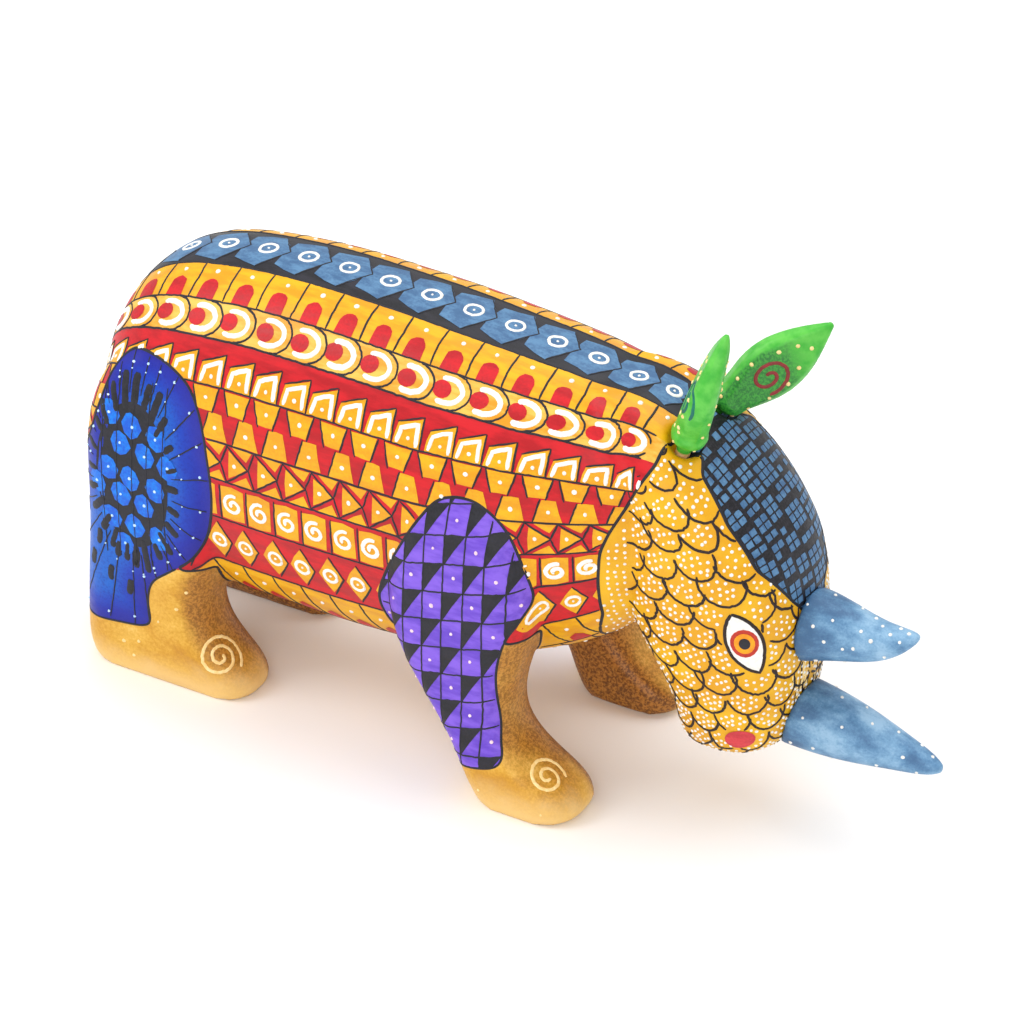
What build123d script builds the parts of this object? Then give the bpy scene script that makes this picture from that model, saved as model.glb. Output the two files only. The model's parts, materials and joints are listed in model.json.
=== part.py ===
"""Carved copal-wood rhinoceros in the Oaxacan alebrije manner.

One carved block holds the torso, the lowered head and the four legs. Two horns are carved
apart, scribed to the face and glued over dowels. Two leaf-shaped ears and a small tail are
pushed onto round pegs, so they turn and draw out by hand.

Millimetres. +X is the way the animal faces, +Y is its left side and +Z is up. The origin is
the middle of the bounding box, on the plane that the feet stand on.
"""

import os
from math import copysign, cos, pi, sin

from build123d import *

# ---- driving dimensions ------------------------------------------------------------------
body_length = 250.0  # rump to the front horn's tip
back_height = 127.5  # sole to the top of the back
torso_half_width = 36.0  # at the widest, between the legs
fore_foot_outer = 41.5  # middle plane to the outside of a fore foot
hind_foot_outer = 34.5  # the same for a hind foot
tail_stand = 4.5  # how far the tail stands out behind the rump

# Pegs, dowels and their holes
ear_peg_radius = 2.0
ear_peg_in_head = 9.0
ear_peg_in_ear = 10.0
tail_peg_radius = 1.6
tail_peg_in_body = 9.0
tail_peg_in_tail = 2.8
running_clearance = 0.05  # radial, round a peg that turns and slides
hole_end_gap = 0.5  # air past each end of a peg
dowel_radius = 2.5
dowel_in_head = 10.0
dowel_in_horn = 12.0
seat_gap = 0.3  # air between a piece that turns and the wood behind it

# The tables below are drawn for a figure of this length and height, and follow the two
# driving sizes through ahead() and up().
drawn_length = 250.0
drawn_height = 127.5
rump_x = tail_stand / 2 - body_length / 2

oval_points = 16  # points round a squared oval
leg_corner = 0.85  # corner radius over half the smaller side of a leg's slice


def ahead(distance):
    """X of a place this far ahead of the rump on the drawn figure."""
    return rump_x + distance * body_length / drawn_length


def up(height):
    """Z of a place this high on the drawn figure."""
    return height * back_height / drawn_height


def squared_oval(half_length, half_width, fullness):
    """Points round an oval: a fullness of 2 is a true ellipse, and more is boxier."""
    outline = []
    for step in range(oval_points):
        angle = 2 * pi * step / oval_points
        along = copysign(abs(cos(angle)) ** (2 / fullness), cos(angle))
        across = copysign(abs(sin(angle)) ** (2 / fullness), sin(angle))
        outline.append((half_length * along, half_width * across))
    return outline


def upright_plane(distance, height):
    """A plane across the animal, looking forwards, with its X to the animal's left."""
    return Plane(origin=(ahead(distance), 0, up(height)), x_dir=(0, 1, 0), z_dir=(1, 0, 0))


# ---- the carved block --------------------------------------------------------------------
# Torso, cut across: distance ahead of the rump, underside, half width, top
torso_stations = [
    (0.0, 62.0, 10.0, 84.0),
    (4.0, 48.0, 20.0, 99.5),
    (13.0, 35.0, torso_half_width - 6.5, 114.5),
    (28.0, 27.0, torso_half_width - 2.0, 123.0),
    (52.0, 24.0, torso_half_width - 0.5, 127.0),
    (82.0, 24.0, torso_half_width, 127.5),
    (110.0, 26.5, torso_half_width, 126.0),
    (135.0, 33.0, torso_half_width - 2.5, 124.0),
    (151.0, 41.0, torso_half_width - 6.0, 122.0),
    (164.0, 51.0, torso_half_width - 11.0, 117.5),
    (173.0, 64.0, torso_half_width - 18.0, 109.0),
]
torso_fullness = 2.3

# Head, cut level: height, its back and front ahead of the rump, half width, fullness
head_stations = [
    (19.0, 179.5, 192.0, 8.0, 2.3),
    (22.0, 177.0, 200.0, 13.0, 2.5),
    (27.0, 175.5, 206.5, 16.5, 2.6),
    (35.0, 174.5, 209.0, 19.0, 2.7),
    (46.0, 170.0, 210.5, 21.5, 2.7),
    (60.0, 162.5, 210.8, 23.5, 2.7),
    (76.0, 160.5, 209.0, 25.0, 2.6),
    (90.0, 161.0, 202.5, 25.0, 2.4),
    (101.0, 158.0, 193.3, 24.0, 2.25),
    (110.0, 152.0, 184.0, 21.5, 2.15),
    (117.0, 147.0, 174.5, 17.0, 2.1),
    (121.0, 143.0, 163.0, 11.0, 2.1),
]

# Legs, cut level: height, back and front ahead of the rump, inner and outer face off the middle
fore_leg_stations = [
    (0.0, 129.0, 158.0, fore_foot_outer - 23.0, fore_foot_outer - 1.0),
    (6.0, 126.0, 159.5, fore_foot_outer - 23.5, fore_foot_outer),
    (13.0, 123.0, 150.5, fore_foot_outer - 23.0, fore_foot_outer),
    (22.0, 117.5, 141.5, fore_foot_outer - 23.0, fore_foot_outer - 1.0),
    (34.0, 109.0, 139.5, fore_foot_outer - 24.0, fore_foot_outer - 1.5),
    (50.0, 102.0, 143.5, fore_foot_outer - 26.0, fore_foot_outer - 1.5),
    (66.0, 101.5, 145.5, fore_foot_outer - 28.0, fore_foot_outer - 2.5),
    (80.0, 104.0, 141.5, fore_foot_outer - 28.5, fore_foot_outer - 4.0),
    (90.0, 111.0, 133.0, fore_foot_outer - 27.5, fore_foot_outer - 8.0),
    (95.0, 118.0, 126.0, fore_foot_outer - 26.5, fore_foot_outer - 14.5),
]
hind_leg_stations = [
    (0.0, 3.5, 53.0, hind_foot_outer - 20.0, hind_foot_outer - 1.0),
    (5.0, 1.5, 54.0, hind_foot_outer - 21.0, hind_foot_outer),
    (10.0, 1.2, 50.0, hind_foot_outer - 21.0, hind_foot_outer + 0.3),
    (17.0, 1.5, 44.0, hind_foot_outer - 21.0, hind_foot_outer + 0.5),
    (25.0, 2.0, 41.5, hind_foot_outer - 21.0, hind_foot_outer + 0.8),
    (36.0, 3.0, 43.0, hind_foot_outer - 21.5, hind_foot_outer + 1.5),
    (50.0, 3.8, 47.0, hind_foot_outer - 22.5, hind_foot_outer + 2.0),
    (66.0, 4.2, 49.0, hind_foot_outer - 22.5, hind_foot_outer + 2.5),
    (82.0, 5.5, 47.5, hind_foot_outer - 23.0, hind_foot_outer + 1.0),
    (96.0, 11.5, 41.5, hind_foot_outer - 24.0, hind_foot_outer - 2.5),
    (104.0, 18.0, 34.5, hind_foot_outer - 24.0, hind_foot_outer - 8.0),
]

with BuildPart() as carved_block:
    for distance, under, half_width, over in torso_stations:
        with BuildSketch(upright_plane(distance, (under + over) / 2)):
            with BuildLine():
                Spline(*squared_oval(half_width, (up(over) - up(under)) / 2, torso_fullness), periodic=True)
            make_face()
    loft()

    for height, back, front, half_width, fullness in head_stations:
        with BuildSketch(Plane(origin=(ahead((back + front) / 2), 0, up(height)))):
            with BuildLine():
                Spline(*squared_oval((ahead(front) - ahead(back)) / 2, half_width, fullness), periodic=True)
            make_face()
    loft()

    for leg_stations in (fore_leg_stations, hind_leg_stations):
        for side in (-1, 1):
            for height, back, front, inner, outer in leg_stations:
                middle = (ahead((back + front) / 2), side * (inner + outer) / 2, up(height))
                length, width = ahead(front) - ahead(back), outer - inner
                with BuildSketch(Plane(origin=middle)):
                    RectangleRounded(length, width, leg_corner * min(length, width) / 2)
            loft()

# ---- horns -------------------------------------------------------------------------------
# Each section: distance ahead of the rump, height of its middle, radius. The first lies
# inside the head, and the block's own surface cuts the horn's foot to fit the face.
rear_horn_sections = [
    (203.0, 60.6, 10.5),
    (210.0, 61.3, 10.2),
    (222.0, 62.3, 7.6),
    (233.0, 63.4, 4.9),
    (238.0, 65.4, 3.1),
    (241.5, 67.4, 0.9),
]
front_horn_sections = [
    (202.0, 33.6, 9.4),
    (209.0, 33.2, 9.6),
    (218.0, 32.3, 8.9),
    (227.5, 31.4, 7.4),
    (237.5, 30.3, 5.2),
    (246.0, 29.3, 3.0),
    (drawn_length, 29.0, 0.9),
]
face_ahead = 209.5  # the face, between the horns
rear_dowel_height = 61.2
front_dowel_height = 32.4


def horn_outline(sections):
    """Upright circles along a horn, ready to be lofted."""
    outline = []
    for distance, height, radius in sections:
        with BuildSketch(upright_plane(distance, height)) as section:
            Circle(radius)
        outline.append(section.sketch)
    return outline


def dowel_bar(height):
    """A horn's dowel, from inside the head to inside the horn."""
    with BuildPart(upright_plane(face_ahead, height).offset(-dowel_in_head)) as bar:
        Cylinder(dowel_radius, dowel_in_head + dowel_in_horn, align=(Align.CENTER, Align.CENTER, Align.MIN))
    return bar.part


with BuildPart() as rear_horn:
    loft(sections=horn_outline(rear_horn_sections))
    add(carved_block.part, mode=Mode.SUBTRACT)
    add(dowel_bar(rear_dowel_height), mode=Mode.SUBTRACT)

with BuildPart() as front_horn:
    loft(sections=horn_outline(front_horn_sections))
    add(carved_block.part, mode=Mode.SUBTRACT)
    add(dowel_bar(front_dowel_height), mode=Mode.SUBTRACT)

with BuildPart() as rear_horn_dowel:
    add(dowel_bar(rear_dowel_height))

with BuildPart() as front_horn_dowel:
    add(dowel_bar(front_dowel_height))

# ---- ears --------------------------------------------------------------------------------
# A leaf with a round heel that sits in a dimple. Each section: distance from the heel's
# middle, half width, half thickness and how much of each corner is pared off.
ear_sections = [
    (0.0, 4.6, 4.3, 2.4),
    (8.8, 6.4, 4.2, 2.2),
    (16.3, 7.7, 3.6, 1.9),
    (22.8, 6.8, 3.0, 1.6),
    (30.3, 3.7, 2.1, 1.0),
    (36.3, 0.7, 0.6, 0.3),
]
ear_heel_radius = 5.0
ear_spread = 11.0  # heel's middle, off the middle plane

# An ear's plane lies across its peg at the heel's middle. The right ear stands nearly upright
# and the left one leans out and forwards.
right_ear_plane = Plane(
    origin=(ahead(178.6), -ear_spread, up(114.2)), x_dir=(0.30, -0.95, -0.11), z_dir=(0.30, -0.02, 0.95)
)
left_ear_plane = Plane(
    origin=(ahead(177.6), ear_spread, up(113.3)), x_dir=(0.58, 0.32, -0.75), z_dir=(0.66, 0.36, 0.66)
)


def pared_leaf(half_width, half_thickness, pared):
    """The eight corners of a leaf's cross section, going round."""
    w, t, p = half_width, half_thickness, pared
    return [(w, t - p), (w - p, t), (p - w, t), (-w, t - p), (-w, p - t), (p - w, -t), (w - p, -t), (w, p - t)]


def ear_peg_bar(plane, clearance, end_gap):
    """A round bar on an ear's peg axis, from inside the head to inside the ear."""
    with BuildPart(plane.offset(-ear_heel_radius - ear_peg_in_head - end_gap)) as bar:
        Cylinder(
            ear_peg_radius + clearance,
            ear_heel_radius + ear_peg_in_head + ear_peg_in_ear + 2 * end_gap,
            align=(Align.CENTER, Align.CENTER, Align.MIN),
        )
    return bar.part


def whittled_ear(plane):
    """A leaf lofted from its heel to its tip, with the round heel below and the peg's hole."""
    outline = []
    for along, half_width, half_thickness, pared in ear_sections:
        with BuildSketch(plane.offset(along)) as section:
            with BuildLine():
                Polyline(*pared_leaf(half_width, half_thickness, pared), close=True)
            make_face()
        outline.append(section.sketch)
    with BuildPart() as ear:
        loft(sections=outline)
        with Locations(plane):
            Sphere(ear_heel_radius, arc_size1=-90, arc_size2=0)
        add(ear_peg_bar(plane, running_clearance, hole_end_gap), mode=Mode.SUBTRACT)
    return ear.part


with BuildPart() as right_ear:
    add(whittled_ear(right_ear_plane))

with BuildPart() as left_ear:
    add(whittled_ear(left_ear_plane))

with BuildPart() as right_ear_peg:
    add(ear_peg_bar(right_ear_plane, 0, 0))

with BuildPart() as left_ear_peg:
    add(ear_peg_bar(left_ear_plane, 0, 0))

# ---- tail --------------------------------------------------------------------------------
# Cut level: height off the peg, share of the tail's depth, half width
tail_sections = [
    (4.6, 0.43, 1.8),
    (2.8, 0.86, 3.4),
    (0.0, 1.0, 4.0),
    (-5.0, 1.0, 3.6),
    (-13.0, 0.95, 3.0),
    (-23.0, 0.86, 2.5),
    (-30.0, 0.9, 2.9),
    (-36.0, 1.0, 3.6),
    (-42.0, 0.86, 2.6),
    (-47.0, 0.24, 0.6),
]
tail_peg_height = 74.0
tail_half_depth = (tail_stand - seat_gap) / 2
tail_middle_x = rump_x - seat_gap - tail_half_depth
tail_peg_plane = Plane(
    origin=(rump_x - seat_gap - tail_peg_in_tail, 0, up(tail_peg_height)), x_dir=(0, 1, 0), z_dir=(1, 0, 0)
)


def tail_peg_bar(clearance, end_gap):
    """A round bar on the tail's peg axis, from inside the tail to inside the rump."""
    with BuildPart(tail_peg_plane.offset(-end_gap)) as bar:
        Cylinder(
            tail_peg_radius + clearance,
            tail_peg_in_tail + seat_gap + tail_peg_in_body + 2 * end_gap,
            align=(Align.CENTER, Align.CENTER, Align.MIN),
        )
    return bar.part


with BuildPart() as tail:
    for height, depth_share, half_width in tail_sections:
        with BuildSketch(Plane(origin=(tail_middle_x, 0, up(tail_peg_height) + height))):
            Ellipse(tail_half_depth * depth_share, half_width)
    loft()
    add(tail_peg_bar(running_clearance, hole_end_gap), mode=Mode.SUBTRACT)

with BuildPart() as tail_peg:
    add(tail_peg_bar(0, 0))

# ---- drilling the block ------------------------------------------------------------------
with BuildPart() as body:
    add(carved_block.part)
    for dowel_height in (rear_dowel_height, front_dowel_height):
        add(dowel_bar(dowel_height), mode=Mode.SUBTRACT)
    for ear_plane in (right_ear_plane, left_ear_plane):
        add(ear_peg_bar(ear_plane, running_clearance, hole_end_gap), mode=Mode.SUBTRACT)
        with Locations(ear_plane):
            Sphere(ear_heel_radius + seat_gap, mode=Mode.SUBTRACT)
    add(tail_peg_bar(running_clearance, hole_end_gap), mode=Mode.SUBTRACT)

# ---- the finished pieces -----------------------------------------------------------------
body.part.label = "body"
rear_horn.part.label = "rear_horn"
front_horn.part.label = "front_horn"
rear_horn_dowel.part.label = "rear_horn_dowel"
front_horn_dowel.part.label = "front_horn_dowel"
right_ear.part.label = "right_ear"
left_ear.part.label = "left_ear"
right_ear_peg.part.label = "right_ear_peg"
left_ear_peg.part.label = "left_ear_peg"
tail.part.label = "tail"
tail_peg.part.label = "tail_peg"

os.makedirs("parts", exist_ok=True)
export_step(body.part, "parts/body.step")
export_step(rear_horn.part, "parts/rear_horn.step")
export_step(front_horn.part, "parts/front_horn.step")
export_step(rear_horn_dowel.part, "parts/rear_horn_dowel.step")
export_step(front_horn_dowel.part, "parts/front_horn_dowel.step")
export_step(right_ear.part, "parts/right_ear.step")
export_step(left_ear.part, "parts/left_ear.step")
export_step(right_ear_peg.part, "parts/right_ear_peg.step")
export_step(left_ear_peg.part, "parts/left_ear_peg.step")
export_step(tail.part, "parts/tail.step")
export_step(tail_peg.part, "parts/tail_peg.step")
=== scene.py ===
"""Looks of a carved copal-wood rhinoceros, painted in fine bands, scales and dots.

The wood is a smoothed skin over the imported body. Broad colour fields are mixed in the skin's
material from distances that are stored on it. Everything that is put on with a fine brush or
the tip of a stick is laid on the skin as thin raised paint: patches, strokes and dots, drawn
flat in millimetres on a chart and then pressed onto the wood.
"""

import json
import math
import random
from types import SimpleNamespace

import bmesh
import bpy
import numpy as np
from mathutils import Matrix, Vector
from mathutils.bvhtree import BVHTree
from mathutils.kdtree import KDTree


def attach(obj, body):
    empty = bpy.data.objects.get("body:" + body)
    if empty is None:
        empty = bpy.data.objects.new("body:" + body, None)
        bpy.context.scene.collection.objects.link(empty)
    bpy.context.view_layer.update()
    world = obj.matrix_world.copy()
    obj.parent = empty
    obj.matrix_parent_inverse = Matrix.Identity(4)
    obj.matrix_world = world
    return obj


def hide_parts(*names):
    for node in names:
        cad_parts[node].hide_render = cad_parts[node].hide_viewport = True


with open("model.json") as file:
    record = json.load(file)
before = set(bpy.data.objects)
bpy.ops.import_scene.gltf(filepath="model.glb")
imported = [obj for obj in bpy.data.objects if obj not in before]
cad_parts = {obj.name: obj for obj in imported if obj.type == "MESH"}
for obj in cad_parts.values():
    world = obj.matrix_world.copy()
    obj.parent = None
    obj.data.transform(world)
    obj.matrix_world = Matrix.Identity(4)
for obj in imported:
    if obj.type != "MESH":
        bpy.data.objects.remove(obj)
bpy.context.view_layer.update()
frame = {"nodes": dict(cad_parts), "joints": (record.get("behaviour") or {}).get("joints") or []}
random.seed(11)

MM = 0.001
RUMP = -122.75  # x of the rump, in millimetres
RUMP_CAP = -118.3  # the rosette round the tail covers all that lies behind this
RIGHT, LEFT = -1, 1
SIDES = ((RIGHT, "right"), (LEFT, "left"))

# ---- the carved shapes that the paint follows, in millimetres ------------------------------
# Torso slices: distance ahead of the rump, underside, half width, top
TORSO = np.array([
    (0, 62, 10, 84), (4, 48, 20, 99.5), (13, 35, 29.5, 114.5), (28, 27, 34, 123),
    (52, 24, 35.5, 127), (82, 24, 36, 127.5), (110, 26.5, 36, 126), (135, 33, 33.5, 124),
    (151, 41, 30, 122), (164, 51, 25, 117.5), (173, 64, 18, 109),
], float)
TORSO_X = RUMP + TORSO[:, 0]
TORSO_MIDDLE = (TORSO[:, 1] + TORSO[:, 3]) / 2
TORSO_TALL = (TORSO[:, 3] - TORSO[:, 1]) / 2
TORSO_WIDE = TORSO[:, 2]
TORSO_FULLNESS = 2.3

# Distance run along the back, from the rump; a rise counts for four fifths of its height
ALONG = np.concatenate([[0], np.cumsum(np.hypot(np.diff(TORSO_X), 0.8 * np.diff(TORSO_TALL)))])

# Distance run round the fullest part of the torso, from the spine down to the middle of the belly
FULLEST_WIDE, FULLEST_TALL = 35.5, 51.5
TURN = np.radians(np.arange(181.0))
TURN_STEPS = np.hypot(FULLEST_WIDE * np.cos(TURN[1:]), FULLEST_TALL * np.sin(TURN[1:]))
GIRTH = np.concatenate([[0], np.cumsum(np.radians(1.0) * TURN_STEPS)])

# Heights, and x of the middle that the head curves round at each
HEAD_LEVEL = np.array([19, 27, 46, 60, 76, 90, 101, 110, 117, 121], float)
HEAD_MIDDLE = RUMP + np.array([185.7, 191, 190.2, 186.6, 184.7, 181.7, 175.6, 168, 160.7, 153])
HEAD_ROUND = 24.0
CROWN_CENTRE = (45.0, 70.0)  # x and z that the crown curves round
CROWN_ROUND = 44.0

# Degrees round from the spine at which each band of the painting begins
BAND_TURNS = (0, 15.8, 33.3, 46.5, 61.2, 78.4, 91.3, 105.4, 124.5, 146, 180)
BANDS = [float(np.interp(math.radians(t), TURN, GIRTH)) for t in BAND_TURNS]

# x and z of the two shoulder panels' outlines
HIND_PANEL = [
    (-103, 102), (-96, 103), (-88.5, 101.5), (-82.5, 98), (-78.5, 91), (-76.2, 81), (-75, 67),
    (-77.5, 54.5), (-82, 45.5), (-89, 39.5), (-95, 34), (-97, 27), (-97.3, 19), (-108, 16.5),
    (-121, 15.5), (-133, 18), (-134, 45), (-123, 60), (-115, 74), (-111, 86), (-108, 96),
]
FORE_PANEL = [
    (-5, 89), (0.5, 91.5), (7, 91), (14.5, 85.5), (19.5, 76), (22.3, 66.5), (20.3, 60), (17.2, 54),
    (14.8, 44), (14.4, 34), (15.8, 23), (17, 16), (8, 12.5), (-1, 11), (-11, 20), (-20, 34),
    (-24, 50), (-20, 63), (-15, 73), (-10, 82),
]

# Height, and x at which the torso's bands end and the head begins
HEAD_EDGE = (
    (19, 60), (22, 33), (50, 34), (60.5, 37.7), (74, 38.2), (82.5, 38.8), (88, 40.7), (98, 45.3),
    (110, 51.5), (118, 52), (123, 52),
)
# Height, and how far from the middle the crown's dark patch reaches
CROWN_EDGE = (
    (62, 0), (70, 6), (73, 8.7), (84.7, 16.4), (96, 17), (106.7, 14.1), (110.3, 9.6), (123, 9.0),
)
CROWN_LEAN = 1.25  # the crown patch is painted this many times wider on its left side

HIND_FROM, FORE_FROM = 17, 28  # how far from the middle each shoulder panel starts
LEGS_PART = -40  # x between the hind legs and the fore legs
HIND_LEG_TOP, FORE_LEG_TOP = 41.0, 53.0
LEG_STANDS_OUT = 0.8  # a leg begins where the wood is this far outside the torso


def smooth_loop(points, cuts=6):
    """A closed outline rounded through its points."""
    p = np.array(points, float)
    t = np.linspace(0, 1, cuts, endpoint=False)[:, None]
    out = []
    for i in range(len(p)):
        a, b, c, d = p[i - 1], p[i], p[(i + 1) % len(p)], p[(i + 2) % len(p)]
        bend = 2 * a - 5 * b + 4 * c - d
        twist = 3 * b - a - 3 * c + d
        out.append(0.5 * (2 * b + (c - a) * t + bend * t**2 + twist * t**3))
    return np.concatenate(out)


def inside_distance(x, z, loop):
    """Distance to a closed outline, positive inside it."""
    nearest = np.full(len(x), 1e9)
    inside = np.zeros(len(x), bool)
    for (ax, az), (bx, bz) in zip(loop, np.roll(loop, -1, 0)):
        dx, dz = bx - ax, bz - az
        t = np.clip(((x - ax) * dx + (z - az) * dz) / (dx * dx + dz * dz + 1e-12), 0, 1)
        nearest = np.minimum(nearest, np.hypot(x - ax - t * dx, z - az - t * dz))
        if az != bz:
            inside ^= ((az > z) != (bz > z)) & (x < dx * (z - az) / dz + ax)
    return np.where(inside, nearest, -nearest)


HIND_LOOP = smooth_loop(HIND_PANEL)
FORE_LOOP = smooth_loop(FORE_PANEL)


def torso_slice(x):
    """Half width, half height and middle of the torso at some distances along it."""
    return tuple(np.interp(x, TORSO_X, size) for size in (TORSO_WIDE, TORSO_TALL, TORSO_MIDDLE))


def fields(places):
    """Where places lie in the painting: distances in millimetres, positive inside a region."""
    x, y, z = places[:, 0], np.abs(places[:, 1]), places[:, 2]
    wide, tall, middle = torso_slice(x)
    turn = np.arctan2(y / wide, (z - middle) / tall)
    over = (y / wide) ** TORSO_FULLNESS + (np.abs(z - middle) / tall) ** TORSO_FULLNESS
    outside = (over ** (1 / TORSO_FULLNESS) - 1) * np.minimum(wide, tall)
    head = x - np.interp(z, *zip(*HEAD_EDGE))
    crown_wide = np.interp(z, *zip(*CROWN_EDGE)) * np.where(places[:, 1] > 0, CROWN_LEAN, 1)
    crown = np.minimum(crown_wide - y, head)
    hind = np.minimum(inside_distance(x, z, HIND_LOOP), y - HIND_FROM)
    fore = np.minimum(inside_distance(x, z, FORE_LOOP), y - FORE_FROM)
    leg_top = np.where(x < LEGS_PART, HIND_LEG_TOP, FORE_LEG_TOP)
    leg = np.minimum(outside - LEG_STANDS_OUT, leg_top - z)
    rump = np.minimum.reduce([RUMP_CAP - x, -hind, -leg])
    return {
        "girth": np.interp(turn, TURN, GIRTH), "head": head, "crown": crown, "hind": hind, "fore": fore,
        "leg": leg, "cheek": np.minimum(head, -crown), "rump": rump,
        "bands": -np.maximum.reduce([head, hind, fore, leg, rump]),
    }


# ---- skins ---------------------------------------------------------------------------------
def new_object(name, mesh, body, replaced=()):
    """A mesh as a piece of its own that rides on a body."""
    piece = bpy.data.objects.new(name, mesh)
    bpy.context.scene.collection.objects.link(piece)
    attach(piece, body)
    if replaced:
        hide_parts(*replaced)
    return piece


def write_smooth(bm, mesh):
    """Write out what a bmesh holds, with soft shading."""
    for face in bm.faces:
        face.smooth = True
    bm.to_mesh(mesh)
    bm.free()


def whittled_copy(node, name, body, grain, rounds):
    """A copy of a CAD piece in even facets of one grain, sanded soft in some rounds."""
    bm = bmesh.new()
    bm.from_mesh(frame["nodes"][node].data)
    bmesh.ops.remove_doubles(bm, verts=bm.verts, dist=1e-6)
    rough = bpy.data.meshes.new(name + "_rough")
    bm.to_mesh(rough)
    bm.free()
    block = bpy.data.objects.new(name + "_rough", rough)
    bpy.context.scene.collection.objects.link(block)
    remesh = block.modifiers.new("even_grain", "REMESH")
    remesh.mode = "VOXEL"
    remesh.voxel_size = grain * MM
    even = bpy.data.meshes.new_from_object(block.evaluated_get(bpy.context.evaluated_depsgraph_get()))
    bpy.data.objects.remove(block)
    bm = bmesh.new()
    bm.from_mesh(even)
    for _ in range(rounds):
        bmesh.ops.smooth_vert(bm, verts=bm.verts, factor=0.5,
                              use_axis_x=True, use_axis_y=True, use_axis_z=True)
    write_smooth(bm, even)
    even.name = name
    return new_object(name, even, body, [node])


def per_vertex(mesh, what):
    """The place or the normal of every vertex."""
    values = np.empty(len(mesh.vertices) * 3)
    mesh.vertices.foreach_get(what, values)
    return values.reshape(-1, 3)


def skin_tree(piece):
    """A skin's vertices in millimetres, and a tree of its faces to cast rays on."""
    spots = per_vertex(piece.data, "co") / MM
    return spots, BVHTree.FromPolygons(spots.tolist(), [tuple(f.vertices) for f in piece.data.polygons])


FRONT_SHADE_RISE = 12.0  # the painted shade on the legs' fronts comes in over this height, from the sole up

body = whittled_copy("body", "painted_body", "figure", grain=1.15, rounds=2)
body_spots, body_tree = skin_tree(body)
normals = per_vertex(body.data, "normal")
regions = fields(body_spots)
# Painted shade: 'inner' is how far a face looks in toward the other side, and 'front' is how far it looks
# forwards, faded out toward the sole. Both darken the legs.
regions["inner"] = np.clip(-normals[:, 1] * np.sign(body_spots[:, 1]), 0, 1)
regions["front"] = np.clip(normals[:, 0], 0, 1) * np.clip(body_spots[:, 2] / FRONT_SHADE_RISE, 0, 1)
for field, values in regions.items():
    store = body.data.attributes.new(field, "FLOAT", "POINT")
    store.data.foreach_set("value", values.astype(np.float32))


# ---- charts: a flat place in millimetres to a place on the wood ----------------------------
SQUARE_ON = 0.18  # a ray that only grazes the wood, or meets it from inside, finds nothing
TORSO_OUT = 1.45  # rays onto the torso start this many half widths out
FLANK_OUT, HEAD_OUT, CROWN_OUT, PIECE_OUT = 70.0, 70.0, 90.0, 20.0  # how far out the others start


def cast(tree, starts, ways, reach=140):
    """Where rays meet a skin: the places, the facings there, and which rays met it at all."""
    places = np.zeros((len(starts), 3))
    facings = np.zeros((len(starts), 3))
    found = np.zeros(len(starts), bool)
    for i, (start, way) in enumerate(zip(starts, np.broadcast_to(ways, starts.shape))):
        place, facing, _, _ = tree.ray_cast(Vector(start), Vector(way), reach)
        if place is not None and facing.dot(Vector(way)) < -SQUARE_ON:
            places[i], facings[i], found[i] = place, facing, True
    return places, facings, found


def columns(x, y, z):
    """Rows of x, y and z, where any of them may be a single number."""
    return np.stack(np.broadcast_arrays(x, y, z), 1)


def torso_chart(flat):
    """Flat x runs from the rump to the head, and y round from the spine, negative on the right."""
    x = np.interp(flat[:, 0], ALONG, TORSO_X)
    turn = np.interp(np.abs(flat[:, 1]), GIRTH, TURN) * np.sign(flat[:, 1])
    wide, tall, middle = torso_slice(x)
    out = columns(0, wide * np.sin(turn), tall * np.cos(turn))
    ways = -out / np.linalg.norm(out, axis=1)[:, None]
    places, facings, found = cast(body_tree, columns(x, 0, middle) + TORSO_OUT * out, ways)
    found &= (flat[:, 0] > 0.5) & (flat[:, 0] < ALONG[-1])
    return places, facings, found


def flank_chart(side):
    """Flat x and y are the wood's own x and z, seen from one side."""
    def chart(flat):
        return cast(body_tree, columns(flat[:, 0], side * FLANK_OUT, flat[:, 1]), (0, -side, 0))
    return chart


def head_chart(flat):
    """Flat x runs round the head from the nose's middle, negative on the right; y is the height."""
    round_by = flat[:, 0] / HEAD_ROUND
    out = columns(np.cos(round_by), np.sin(round_by), 0)
    middle = columns(np.interp(flat[:, 1], HEAD_LEVEL, HEAD_MIDDLE), 0, flat[:, 1])
    return cast(body_tree, middle + HEAD_OUT * out, -out)


def crown_chart(flat):
    """Flat x runs forwards and down the middle of the crown, and y is the wood's own y."""
    lean = math.pi / 2 - flat[:, 0] / CROWN_ROUND
    out = columns(np.cos(lean), 0, np.sin(lean))
    return cast(body_tree, columns(CROWN_CENTRE[0], flat[:, 1], CROWN_CENTRE[1]) + CROWN_OUT * out, -out)


def plane_chart(tree, middle, long_way, wide_way, face_way):
    """Flat x and y run along two directions from a middle, seen from one side."""
    def chart(flat):
        spots = np.array(middle) + np.outer(flat[:, 0], long_way) + np.outer(flat[:, 1], wide_way)
        face = np.array(face_way)
        return cast(tree, spots + PIECE_OUT * face, -face, 2 * PIECE_OUT)
    return chart


# ---- materials -----------------------------------------------------------------------------
def ink(red, green, blue):
    """A colour given as 0 to 255 on a screen, as the shader takes it."""
    shares = (c / 255 for c in (red, green, blue))
    return (*(((s + 0.055) / 1.055) ** 2.4 if s > 0.0405 else s / 12.92 for s in shares), 1.0)


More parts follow.
